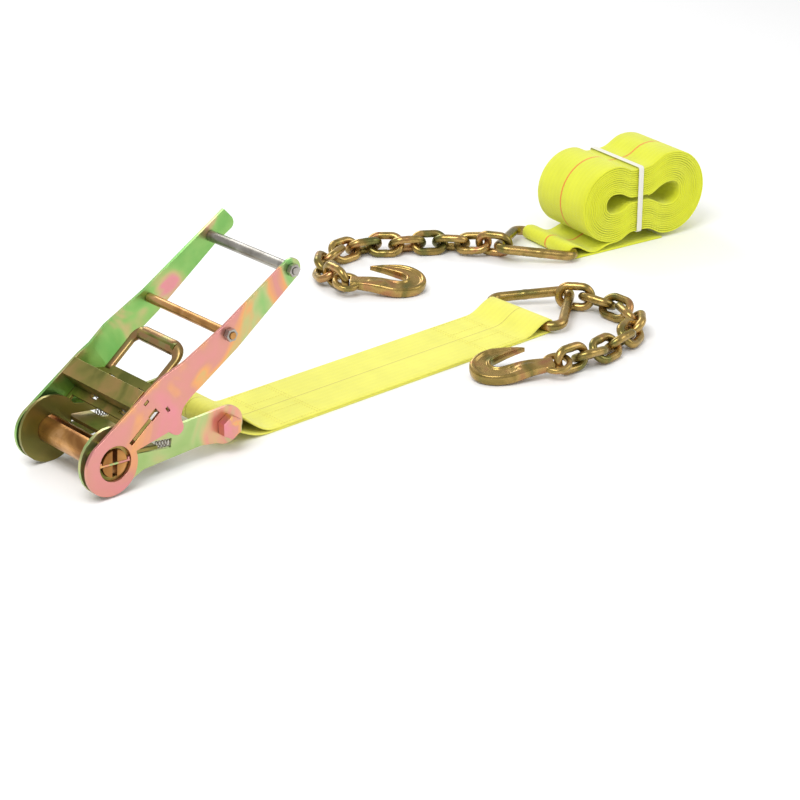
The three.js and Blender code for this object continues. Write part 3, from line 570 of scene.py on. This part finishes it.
def hook_section(half_width, half_thick, hollow):
    """Half the section's outline, from the outer edge over the top to the inner edge: band, web, lip."""
    w, t = half_width, half_thick
    rim = min(0.36 * w, 4.5)
    top = [
        (-w, 0.0), (-w + 0.1 * rim, 0.62 * t), (-w + 0.5 * rim, 0.95 * t), (-w + 1.1 * rim, t),
        (-w + 1.5 * rim, t - 0.35 * hollow), (-w + 1.8 * rim, t - hollow), (0.2 * w, t - hollow),
        (w - 1.3 * rim, t - hollow), (w - 1.0 * rim, t - 0.5 * hollow), (w - 0.7 * rim, t - 0.25 * hollow),
        (w - 0.25 * rim, 0.75 * t), (w, 0.0),
    ]
    return top + [(x, -z) for x, z in reversed(top[1:-1])]


def hook_mesh():
    stations = 56
    outer = smooth_line([o for o, _ in HOOK_RIM], stations)
    inner = smooth_line([i for _, i in HOOK_RIM], stations)
    shape = bmesh.new()
    loops = []
    for k in range(stations):
        s = k / (stations - 1)
        middle, reach = (outer[k] + inner[k]) / 2, (inner[k] - outer[k]) / 2
        width = max(np.linalg.norm(reach), 0.6)
        across = reach / np.linalg.norm(reach)
        thick = HOOK_HALF * (0.75 + 0.25 * min(1, s / 0.2)) * (1 if s < 0.75 else 1 - 0.55 * (s - 0.75) / 0.25)
        hollow = HOOK_WEB_DROP * min(1, max(0, (s - 0.20) / 0.08)) * min(1, max(0, (0.92 - s) / 0.15))
        loop = []
        for x, z in hook_section(width, thick, hollow):
            spot = middle + across * x
            loop.append(shape.verts.new((spot[0] * MM, spot[1] * MM, z * MM)))
        loops.append(loop)
    for a, b in zip(loops, loops[1:]):
        for i in range(len(a)):
            shape.faces.new((a[i], b[i], b[(i + 1) % len(a)], a[(i + 1) % len(a)]))
    shape.faces.new(loops[0])
    shape.faces.new(list(reversed(loops[-1])))
    bmesh.ops.recalc_face_normals(shape, faces=shape.faces)
    body = bpy.data.meshes.new("hook_body")
    shape.to_mesh(body)
    shape.free()
    # the eye, swept round its hole with a soft-cornered section
    ring = bmesh.new()
    mid, wide, tall = (HOOK_EYE_R + HOOK_HOLE_R) / 2, (HOOK_EYE_R - HOOK_HOLE_R) / 2, HOOK_EYE_HALF
    turns, corners = 48, 12
    rows = []
    for i in range(turns):
        a = 2 * math.pi * i / turns
        row = []
        for k in range(corners):
            b = 2 * math.pi * k / corners
            r = mid + wide * math.copysign(abs(math.cos(b)) ** 0.75, math.cos(b))
            z = tall * math.copysign(abs(math.sin(b)) ** 0.75, math.sin(b))
            row.append(ring.verts.new((r * math.cos(a) * MM, r * math.sin(a) * MM, z * MM)))
        rows.append(row)
    for i in range(turns):
        for k in range(corners):
            j, m = (i + 1) % turns, (k + 1) % corners
            ring.faces.new((rows[i][k], rows[j][k], rows[j][m], rows[i][m]))
    # the raised oval on each flat side of the shank
    for flat_side in (-1, 1):
        made = bmesh.ops.create_uvsphere(ring, u_segments=24, v_segments=12, radius=1.0)
        bmesh.ops.transform(
            ring, verts=made["verts"],
            matrix=Matrix.Translation((OVAL_X * MM, OVAL_Y * MM, flat_side * OVAL_RISE * MM))
            @ Matrix.Rotation(math.radians(OVAL_TURN), 4, "Z")
            @ Matrix.Diagonal((OVAL_LONG * MM, OVAL_WIDE * MM, OVAL_HIGH * MM, 1)),
        )
    bmesh.ops.recalc_face_normals(ring, faces=ring.faces)
    ring.from_mesh(body)
    whole = bpy.data.meshes.new("hook_whole")
    ring.to_mesh(whole)
    ring.free()
    holder = bpy.data.objects.new("hook_holder", whole)
    bpy.context.scene.collection.objects.link(holder)
    blend = holder.modifiers.new("forge", "REMESH")
    blend.mode = "VOXEL"
    blend.voxel_size = 0.6 * MM
    blend.use_smooth_shade = True
    relax = holder.modifiers.new("soften", "SMOOTH")
    relax.factor = 0.5
    relax.iterations = 4
    bpy.context.view_layer.update()
    result = bpy.data.meshes.new_from_object(holder.evaluated_get(bpy.context.evaluated_depsgraph_get()))
    bpy.data.objects.remove(holder)
    result.materials.clear()
    result.materials.append(chain_gold)
    return result


hook_shape = hook_mesh()


def hook_place(node):
    """The eye's middle and the shank's line, from the hook's own solid: its eye is its round end."""
    points = np.unique(np.array([v.co for v in frame["nodes"][node].data.vertices]).round(6), axis=0)
    centre = points.mean(axis=0)
    _, axes = np.linalg.eigh(np.cov((points - centre).T))
    flat = Vector(axes[:, 0])
    if flat.z < 0:
        flat = -flat
    pin = Vector(joint_of(node)["pos_m"])
    # the hole's rim is the ring of vertices HOOK_HOLE_R from the eye's middle: fit it from the hinge outwards
    near = np.array([q for q in points if (Vector(q) - pin).length < 16 * MM])
    eye = Vector(near.mean(axis=0))
    rim_reach = math.hypot(HOOK_HOLE_R, HOOK_EYE_HALF) * MM
    for _ in range(30):
        rim = np.array([q for q in points if abs((Vector(q) - eye).length - rim_reach) < 2.2 * MM])
        if len(rim):
            eye = eye.lerp(Vector(rim.mean(axis=0)), 0.7)
    return eye, flat, points


def hook_frame(node, flip):
    eye, flat, points = hook_place(node)
    far = max(points, key=lambda q: (Vector(q) - eye).length)
    to_far = Vector(far) - eye
    to_far = to_far - to_far.dot(flat) * flat
    # the farthest point of the rim lies a known angle off the shank's line
    rim = max((Vector((x, y, 0)) for pair in HOOK_RIM for x, y in pair), key=lambda q: q.length)
    turn = math.atan2(rim.y, rim.x)
    normal = -flat if flip else flat
    along = Matrix.Rotation(-turn, 3, normal) @ to_far.normalized()
    across = normal.cross(along)
    return Matrix((
        (along.x, across.x, normal.x, eye.x),
        (along.y, across.y, normal.y, eye.y),
        (along.z, across.z, normal.z, eye.z),
        (0, 0, 0, 1),
    ))


for node, flip in (("short_grab_hook", True), ("long_grab_hook", False)):
    laid(hook_shape, hook_frame(node, flip), node + "_forged", node, node)

# ---- Webbing ----
# Flat woven polyester, 101.6 mm wide, ribbed across its width with a bound edge. The short strap is one
# closed belt of two plies, sewn flat between the bolt's loop and the ring's loop.
WEB_HALF = 50.8 * MM
WEB_THICK = 2.5 * MM
STRAP_YELLOW = (0.96, 0.93, 0.12)
SEAM_LINE = (0.62, 0.50, 0.06)


def webbing(name, colour, stripe, stripe_half):
    """Woven webbing by its own UV map: U is metres along the strap, V is metres across it."""
    made = bpy.data.materials.new(name)
    made.use_nodes = True
    nodes, links = made.node_tree.nodes, made.node_tree.links
    surface = nodes["Principled BSDF"]
    surface.inputs["Roughness"].default_value = 0.75
    surface.inputs["Sheen Weight"].default_value = 0.25
    surface.inputs["Sheen Roughness"].default_value = 0.5
    where = nodes.new("ShaderNodeUVMap")
    where.uv_map = "weave"
    split = nodes.new("ShaderNodeSeparateXYZ")
    links.new(where.outputs[0], split.inputs[0])

    def wave(source, pitch, phase=0.0):
        turn = nodes.new("ShaderNodeMath")
        turn.operation = "MULTIPLY_ADD"
        turn.inputs[1].default_value = 2 * math.pi / pitch
        turn.inputs[2].default_value = phase
        links.new(source, turn.inputs[0])
        rise = nodes.new("ShaderNodeMath")
        rise.operation = "SINE"
        links.new(turn.outputs[0], rise.inputs[0])
        return rise.outputs[0]

    def math_of(operation, a, b):
        node = nodes.new("ShaderNodeMath")
        node.operation = operation
        links.new(a, node.inputs[0])
        if isinstance(b, (int, float)):
            node.inputs[1].default_value = b
        else:
            links.new(b, node.inputs[1])
        return node.outputs[0]

    picks = wave(split.outputs["X"], 1.5 * MM)
    ends = wave(split.outputs["Y"], 1.9 * MM)
    weave = math_of("MULTIPLY", picks, ends)
    rows = math_of("MULTIPLY", wave(split.outputs["Y"], 7.6 * MM), 0.18)
    height = math_of("ADD", weave, rows)
    bump = nodes.new("ShaderNodeBump")
    bump.inputs["Strength"].default_value = 0.55
    bump.inputs["Distance"].default_value = 0.0004
    links.new(height, bump.inputs["Height"])
    links.new(bump.outputs["Normal"], surface.inputs["Normal"])
    cloud = nodes.new("ShaderNodeTexNoise")
    cloud.inputs["Scale"].default_value = 30.0
    links.new(where.outputs[0], cloud.inputs["Vector"])
    tint = nodes.new("ShaderNodeMapRange")
    tint.inputs["To Min"].default_value = 0.86
    tint.inputs["To Max"].default_value = 1.06
    links.new(cloud.outputs["Fac"], tint.inputs["Value"])
    # Painted shade: the colour darkens to 0.82 in the weave's low points, as shade in its hollows; the noise tint above
    # is the cloth's own uneven tone.
    painted_weave_shade = nodes.new("ShaderNodeMapRange")
    painted_weave_shade.inputs["From Min"].default_value = -1.35
    painted_weave_shade.inputs["From Max"].default_value = 1.35
    painted_weave_shade.inputs["To Min"].default_value = 0.82
    painted_weave_shade.inputs["To Max"].default_value = 1.0
    links.new(height, painted_weave_shade.inputs["Value"])
    both = math_of("MULTIPLY", tint.outputs["Result"], painted_weave_shade.outputs["Result"])
    paint = nodes.new("ShaderNodeMix")
    paint.data_type = "RGBA"
    paint.blend_type = "MULTIPLY"
    paint.inputs["Factor"].default_value = 1.0
    base = nodes.new("ShaderNodeMix")
    base.data_type = "RGBA"
    base.inputs["A"].default_value = (*colour, 1)
    base.inputs["B"].default_value = (*stripe, 1)
    inside = nodes.new("ShaderNodeMath")
    inside.operation = "LESS_THAN"
    inside.inputs[1].default_value = stripe_half * MM
    links.new(math_of("ABSOLUTE", split.outputs["Y"], 0.0), inside.inputs[0])
    links.new(inside.outputs[0], base.inputs["Factor"])
    links.new(base.outputs["Result"], paint.inputs["A"])
    grey = nodes.new("ShaderNodeCombineColor")
    for channel in ("Red", "Green", "Blue"):
        links.new(both, grey.inputs[channel])
    links.new(grey.outputs[0], paint.inputs["B"])
    links.new(paint.outputs["Result"], surface.inputs["Base Color"])
    return made


def ribbon(line, place, closed=False, half=WEB_HALF, thick=WEB_THICK, columns=10):
    """A flat strip along a line in X and Z, across Y, with a rounded edge and a UV map in metres."""
    line = [Vector((x * MM, 0, z * MM)) for x, z in line]
    count = len(line)
    lengths = [0.0]
    for a, b in zip(line, line[1:]):
        lengths.append(lengths[-1] + (b - a).length)
    section = []
    edge = thick / 2
    for k in range(columns + 1):
        section.append((-half + edge + (2 * half - 2 * edge) * k / columns, edge))
    section += [(half - 0.3 * edge, 0.7 * edge), (half, 0.0), (half - 0.3 * edge, -0.7 * edge)]
    for k in range(columns, -1, -1):
        section.append((-half + edge + (2 * half - 2 * edge) * k / columns, -edge))
    section += [(-half + 0.3 * edge, -0.7 * edge), (-half, 0.0), (-half + 0.3 * edge, 0.7 * edge)]
    shape = bmesh.new()
    weave = shape.loops.layers.uv.new("weave")
    rows = []
    for i in range(count):
        before = line[(i - 1) % count] if closed else line[max(i - 1, 0)]
        after = line[(i + 1) % count] if closed else line[min(i + 1, count - 1)]
        tangent = (after - before).normalized()
        normal = Vector((-tangent.z, 0, tangent.x))
        rows.append([shape.verts.new(line[i] + normal * z + Vector((0, y, 0))) for y, z in section])
    n = len(section)
    for i in range(count if closed else count - 1):
        j = (i + 1) % count
        end = lengths[j] if j else lengths[-1] + (line[0] - line[-1]).length
        for k in range(n):
            m = (k + 1) % n
            face = shape.faces.new((rows[i][k], rows[i][m], rows[j][m], rows[j][k]))
            face.smooth = True
            for loop, (u, v) in zip(face.loops, (
                (lengths[i], section[k][0]), (lengths[i], section[m][0]), (end, section[m][0]), (end, section[k][0]),
            )):
                loop[weave].uv = (u, v)
    if not closed:
        for row in (rows[0], list(reversed(rows[-1]))):
            face = shape.faces.new(row)
            for loop in face.loops:
                loop[weave].uv = (0.0, loop.vert.co.y)
    bmesh.ops.recalc_face_normals(shape, faces=shape.faces)
    shape.transform(place)
    total = lengths[-1] + ((line[0] - line[-1]).length if closed else 0)
    return shape, total


def piece_of(shape, name, material, body, nodes):
    mesh = bpy.data.meshes.new(name)
    shape.to_mesh(mesh)
    shape.free()
    mesh.materials.append(material)
    piece = bpy.data.objects.new(name, mesh)
    bpy.context.scene.collection.objects.link(piece)
    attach(piece, body)
    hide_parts(*nodes)
    return piece


def bezier(a, b, c, d, count):
    line = []
    for u in (i / count for i in range(count)):
        pull = ((1 - u) ** 3, 3 * (1 - u) ** 2 * u, 3 * (1 - u) * u**2, u**3)
        line.append(tuple(pull[0] * a[k] + pull[1] * b[k] + pull[2] * c[k] + pull[3] * d[k] for k in (0, 1)))
    return line


def arc(x, z, r, start, end, count):
    return [(x + r * math.cos(math.radians(start + (end - start) * i / count)),
             z + r * math.sin(math.radians(start + (end - start) * i / count))) for i in range(count)]


def straight(a, b, count):
    return [(a[0] + (b[0] - a[0]) * i / count, a[1] + (b[1] - a[1]) * i / count) for i in range(count)]


# The bolt and the ring's bar give the strap its two ends, in millimetres from the bolt.
bolt_low, bolt_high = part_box("spacer_tube")
bolt_at = (bolt_low + bolt_high) / 2
ring_bar = Vector(joint_of("short_delta_ring")["pos_m"])
HALF_PLY = WEB_THICK / MM / 2
UPPER_PLY = 3.1 * HALF_PLY
BOLT_LOOP = 11.7
RING_LOOP = 8.1
reach = (ring_bar.x - bolt_at.x) / MM
drop = bolt_at.z / MM
bar_z = ring_bar.z / MM
belt = bezier((0, drop - BOLT_LOOP), (25, drop - BOLT_LOOP), (34, HALF_PLY), (68, HALF_PLY), 14)
belt += straight((68, HALF_PLY), (reach, bar_z - RING_LOOP), 40)
belt += arc(reach, bar_z, RING_LOOP, -90, 90, 14)
belt += bezier(
    (reach, bar_z + RING_LOOP), (reach - 16, bar_z + RING_LOOP), (reach - 24, UPPER_PLY), (reach - 42, UPPER_PLY), 10,
)
belt += straight((reach - 42, UPPER_PLY), (74, UPPER_PLY), 36)
belt += bezier((74, UPPER_PLY), (44, UPPER_PLY), (28, drop + BOLT_LOOP), (0, drop + BOLT_LOOP), 14)
belt += arc(0, drop, BOLT_LOOP, 90, 270, 18)
strap_cloth = webbing("strap_cloth", STRAP_YELLOW, SEAM_LINE, 0.45)
strap_shape, strap_length = ribbon(belt, Matrix.Translation((bolt_at.x, bolt_at.y, 0)), closed=True)
short_strap = piece_of(
    strap_shape, "short_strap_webbing", strap_cloth, "short_strap", ["short_strap"],
)

# The two plies are sewn together behind each loop: rows of heavy thread across the strap, joined by
# rows along it. Each stitch is a short proud dash.
STITCH_PITCH = 4.2 * MM
STITCH_LONG, STITCH_FAT = 1.75 * MM, 0.42 * MM
thread = bpy.data.materials.new("thread")
thread.use_nodes = True
thread_nodes, thread_links = thread.node_tree.nodes, thread.node_tree.links
thread_nodes["Principled BSDF"].inputs["Roughness"].default_value = 0.6
thread_where = thread_nodes.new("ShaderNodeTexCoord")
thread_twist = thread_nodes.new("ShaderNodeTexNoise")
thread_twist.inputs["Scale"].default_value = 700.0
thread_links.new(thread_where.outputs["Object"], thread_twist.inputs["Vector"])
thread_tone = thread_nodes.new("ShaderNodeValToRGB")
thread_tone.color_ramp.elements[0].color = (0.58, 0.50, 0.06, 1)
thread_tone.color_ramp.elements[1].color = (0.90, 0.84, 0.20, 1)
thread_links.new(thread_twist.outputs["Fac"], thread_tone.inputs["Fac"])
thread_links.new(thread_tone.outputs["Color"], thread_nodes["Principled BSDF"].inputs["Base Color"])

STITCH_SIZES = {"Pitch": STITCH_PITCH, "Long": STITCH_LONG, "Fat": STITCH_FAT}
stitch_tree, stitch_in, stitch_out = new_tree("sewn_rows", STITCH_SIZES)
spaced = stitch_tree.nodes.new("GeometryNodeCurveToPoints")
spaced.mode = "LENGTH"
stitch_tree.links.new(stitch_in.outputs["Geometry"], spaced.inputs["Curve"])
stitch_tree.links.new(stitch_in.outputs["Pitch"], spaced.inputs["Length"])
dash = stitch_tree.nodes.new("GeometryNodeMeshUVSphere")
dash.inputs["Segments"].default_value = 6
dash.inputs["Rings"].default_value = 4
dash.inputs["Radius"].default_value = 1.0
dash_size = stitch_tree.nodes.new("ShaderNodeCombineXYZ")
for axis, size in (("X", "Fat"), ("Y", "Fat"), ("Z", "Long")):
    stitch_tree.links.new(stitch_in.outputs[size], dash_size.inputs[axis])
sewn = stitch_tree.nodes.new("GeometryNodeInstanceOnPoints")
stitch_tree.links.new(spaced.outputs["Points"], sewn.inputs["Points"])
stitch_tree.links.new(dash.outputs["Mesh"], sewn.inputs["Instance"])
stitch_tree.links.new(spaced.outputs["Rotation"], sewn.inputs["Rotation"])
stitch_tree.links.new(dash_size.outputs[0], sewn.inputs["Scale"])
close_tree(stitch_tree, sewn.outputs["Instances"], stitch_out, thread)

sewn_rows = bpy.data.curves.new("sewn_rows", "CURVE")
sewn_rows.dimensions = "3D"
SEW_TOP = 4.15 * HALF_PLY
SEW_HALF = 47.0


def sew(x0, y0, x1, y1):
    row = sewn_rows.splines.new("POLY")
    row.points.add(1)
    row.points[0].co = (bolt_at.x + x0 * MM, bolt_at.y + y0 * MM, SEW_TOP * MM, 1)
    row.points[1].co = (bolt_at.x + x1 * MM, bolt_at.y + y1 * MM, SEW_TOP * MM, 1)


for start, end in ((84.0, 140.0), (reach - 104.0, reach - 48.0)):
    for across in (start, start + 4.5, end - 4.5, end):
        sew(across, -SEW_HALF, across, SEW_HALF)
    for along in (-SEW_HALF, -SEW_HALF / 3, SEW_HALF / 3, SEW_HALF):
        sew(start, along, end, along)
sewing = bpy.data.objects.new("short_strap_sewing", grown(stitch_tree, sewn_rows))
bpy.context.scene.collection.objects.link(sewing)
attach(sewing, "short_strap")

# ---- Long strap ----
# Fourteen and a half turns of the same webbing, wound flat and pinched at the waist by its band, with a
# line of orange thread along its middle. Its outer end leaves the roll underneath and is sewn round the ring.
ROLL_YELLOW = (0.86, 0.90, 0.02)
ORANGE = (0.95, 0.24, 0.01)
LEFT_R, RIGHT_R, SPAN, WAIST = 54.0, 58.0, 96.0, 44.0
WAIST_FROM, WAIST_TO = 34.0, 50.0
TURNS = 14.6
PLY_PITCH = 2.78

long_bar = Vector(joint_of("long_delta_ring")["pos_m"])
long_axis = Vector(joint_of("long_delta_ring")["axis"])
roll_heading = math.atan2(-long_axis.x, long_axis.y)
if math.cos(roll_heading) < 0:
    roll_heading += math.pi
roll_place = Matrix.Translation((long_bar.x, long_bar.y, 0)) @ Matrix.Rotation(roll_heading, 4, "Z")
long_bar_z = long_bar.z / MM
ROLL_X, ROLL_Z = 66.0, 63.2


def roll_outline(grow):
    """The roll's outline from the bottom of its left lobe, anticlockwise, set in by -grow."""
    left, right, waist = LEFT_R + grow, RIGHT_R + grow, WAIST + grow
    line = bezier((0, -left), (WAIST_FROM * 0.6, -left), (WAIST_FROM * 0.6, -waist), (WAIST_FROM, -waist), 8)
    line += straight((WAIST_FROM, -waist), (WAIST_TO, -waist), 4)
    line += bezier((WAIST_TO, -waist), (WAIST_TO + 22, -waist), (WAIST_TO + 22, -right), (SPAN, -right), 8)
    line += arc(SPAN, 0, right, -90, 90, 24)
    line += bezier((SPAN, right), (WAIST_TO + 22, right), (WAIST_TO + 22, waist), (WAIST_TO, waist), 8)
    line += straight((WAIST_TO, waist), (WAIST_FROM, waist), 4)
    line += bezier((WAIST_FROM, waist), (WAIST_FROM * 0.6, waist), (WAIST_FROM * 0.6, left), (0, left), 8)
    line += arc(0, 0, left, 90, 270, 24)
    return line


winding = []
steps = len(roll_outline(0))
for i in range(int(TURNS * steps)):
    grow = -HALF_PLY - PLY_PITCH * i / steps
    loose = 0.32 * math.sin(2 * math.pi * i / steps * 2 + 0.9 * (i // steps))
    x, z = roll_outline(grow + loose)[i % steps]
    winding.append((ROLL_X + x, ROLL_Z + z))
tail = straight((150, HALF_PLY), (40, HALF_PLY), 12) + straight((40, HALF_PLY), (0, long_bar_z - RING_LOOP), 6)
tail += arc(0, long_bar_z, RING_LOOP, 270, 90, 14)
tail += bezier((0, long_bar_z + RING_LOOP), (14, long_bar_z + RING_LOOP), (22, UPPER_PLY), (36, 3.2 * HALF_PLY), 8)
first = winding[0]
tail += bezier((36, 3.2 * HALF_PLY), (46, 3.3 * HALF_PLY), (52, first[1]), first, 8)
roll_cloth = webbing("roll_cloth", ROLL_YELLOW, ORANGE, 1.2)
roll_shape, roll_length = ribbon(tail + winding, roll_place, columns=8)
long_strap = piece_of(roll_shape, "long_strap_webbing", roll_cloth, "long_strap", ["long_strap"])

# ---- Elastic band ----
# A flat white rubber-cored band stretched round the roll's waist, over its width.
BAND_WIDE, BAND_THICK = 8.0, 1.2
band_paint = bpy.data.materials.new("band_paint")
band_paint.use_nodes = True
band_nodes, band_links = band_paint.node_tree.nodes, band_paint.node_tree.links
band_surface = band_nodes["Principled BSDF"]
band_surface.inputs["Roughness"].default_value = 0.6
band_uv = band_nodes.new("ShaderNodeUVMap")
band_uv.uv_map = "weave"
ribs = band_nodes.new("ShaderNodeTexWave")
ribs.inputs["Scale"].default_value = 260.0
ribs.bands_direction = "Y"
band_links.new(band_uv.outputs[0], ribs.inputs["Vector"])
# Painted shade: the ribs' low lines are greyer in the colour than their crests, as shade in the grooves.
rib_groove_shade = band_nodes.new("ShaderNodeValToRGB")
rib_groove_shade.color_ramp.elements[0].color = (0.70, 0.68, 0.60, 1)
rib_groove_shade.color_ramp.elements[1].color = (0.88, 0.87, 0.80, 1)
band_links.new(ribs.outputs["Fac"], rib_groove_shade.inputs["Fac"])
band_links.new(rib_groove_shade.outputs["Color"], band_surface.inputs["Base Color"])
rib_bump = band_nodes.new("ShaderNodeBump")
rib_bump.inputs["Strength"].default_value = 0.4
rib_bump.inputs["Distance"].default_value = 0.0003
band_links.new(ribs.outputs["Fac"], rib_bump.inputs["Height"])
band_links.new(rib_bump.outputs["Normal"], band_surface.inputs["Normal"])

band_reach, band_rise, band_bend = 52.6, 45.2, 3.0
hoop = []
for sign_x, sign_z, start in ((1, 1, 0), (-1, 1, 90), (-1, -1, 180), (1, -1, 270)):
    hoop += arc(sign_x * (band_reach - band_bend), sign_z * (band_rise - band_bend), band_bend, start, start + 90, 5)
    hoop += [(sign_x * (band_reach - band_bend) + band_bend * math.cos(math.radians(start + 90)),
              sign_z * (band_rise - band_bend) + band_bend * math.sin(math.radians(start + 90)))]
stand = (
    roll_place @ Matrix.Translation(((ROLL_X + (WAIST_FROM + WAIST_TO) / 2) * MM, 0, ROLL_Z * MM))
    @ Matrix.Rotation(math.radians(90), 4, "Z")
)
band_shape, _ = ribbon(hoop, stand, closed=True, half=BAND_WIDE / 2 * MM, thick=BAND_THICK * MM, columns=4)
band = piece_of(band_shape, "elastic_band_stretched", band_paint, "long_strap", ["elastic_band"])
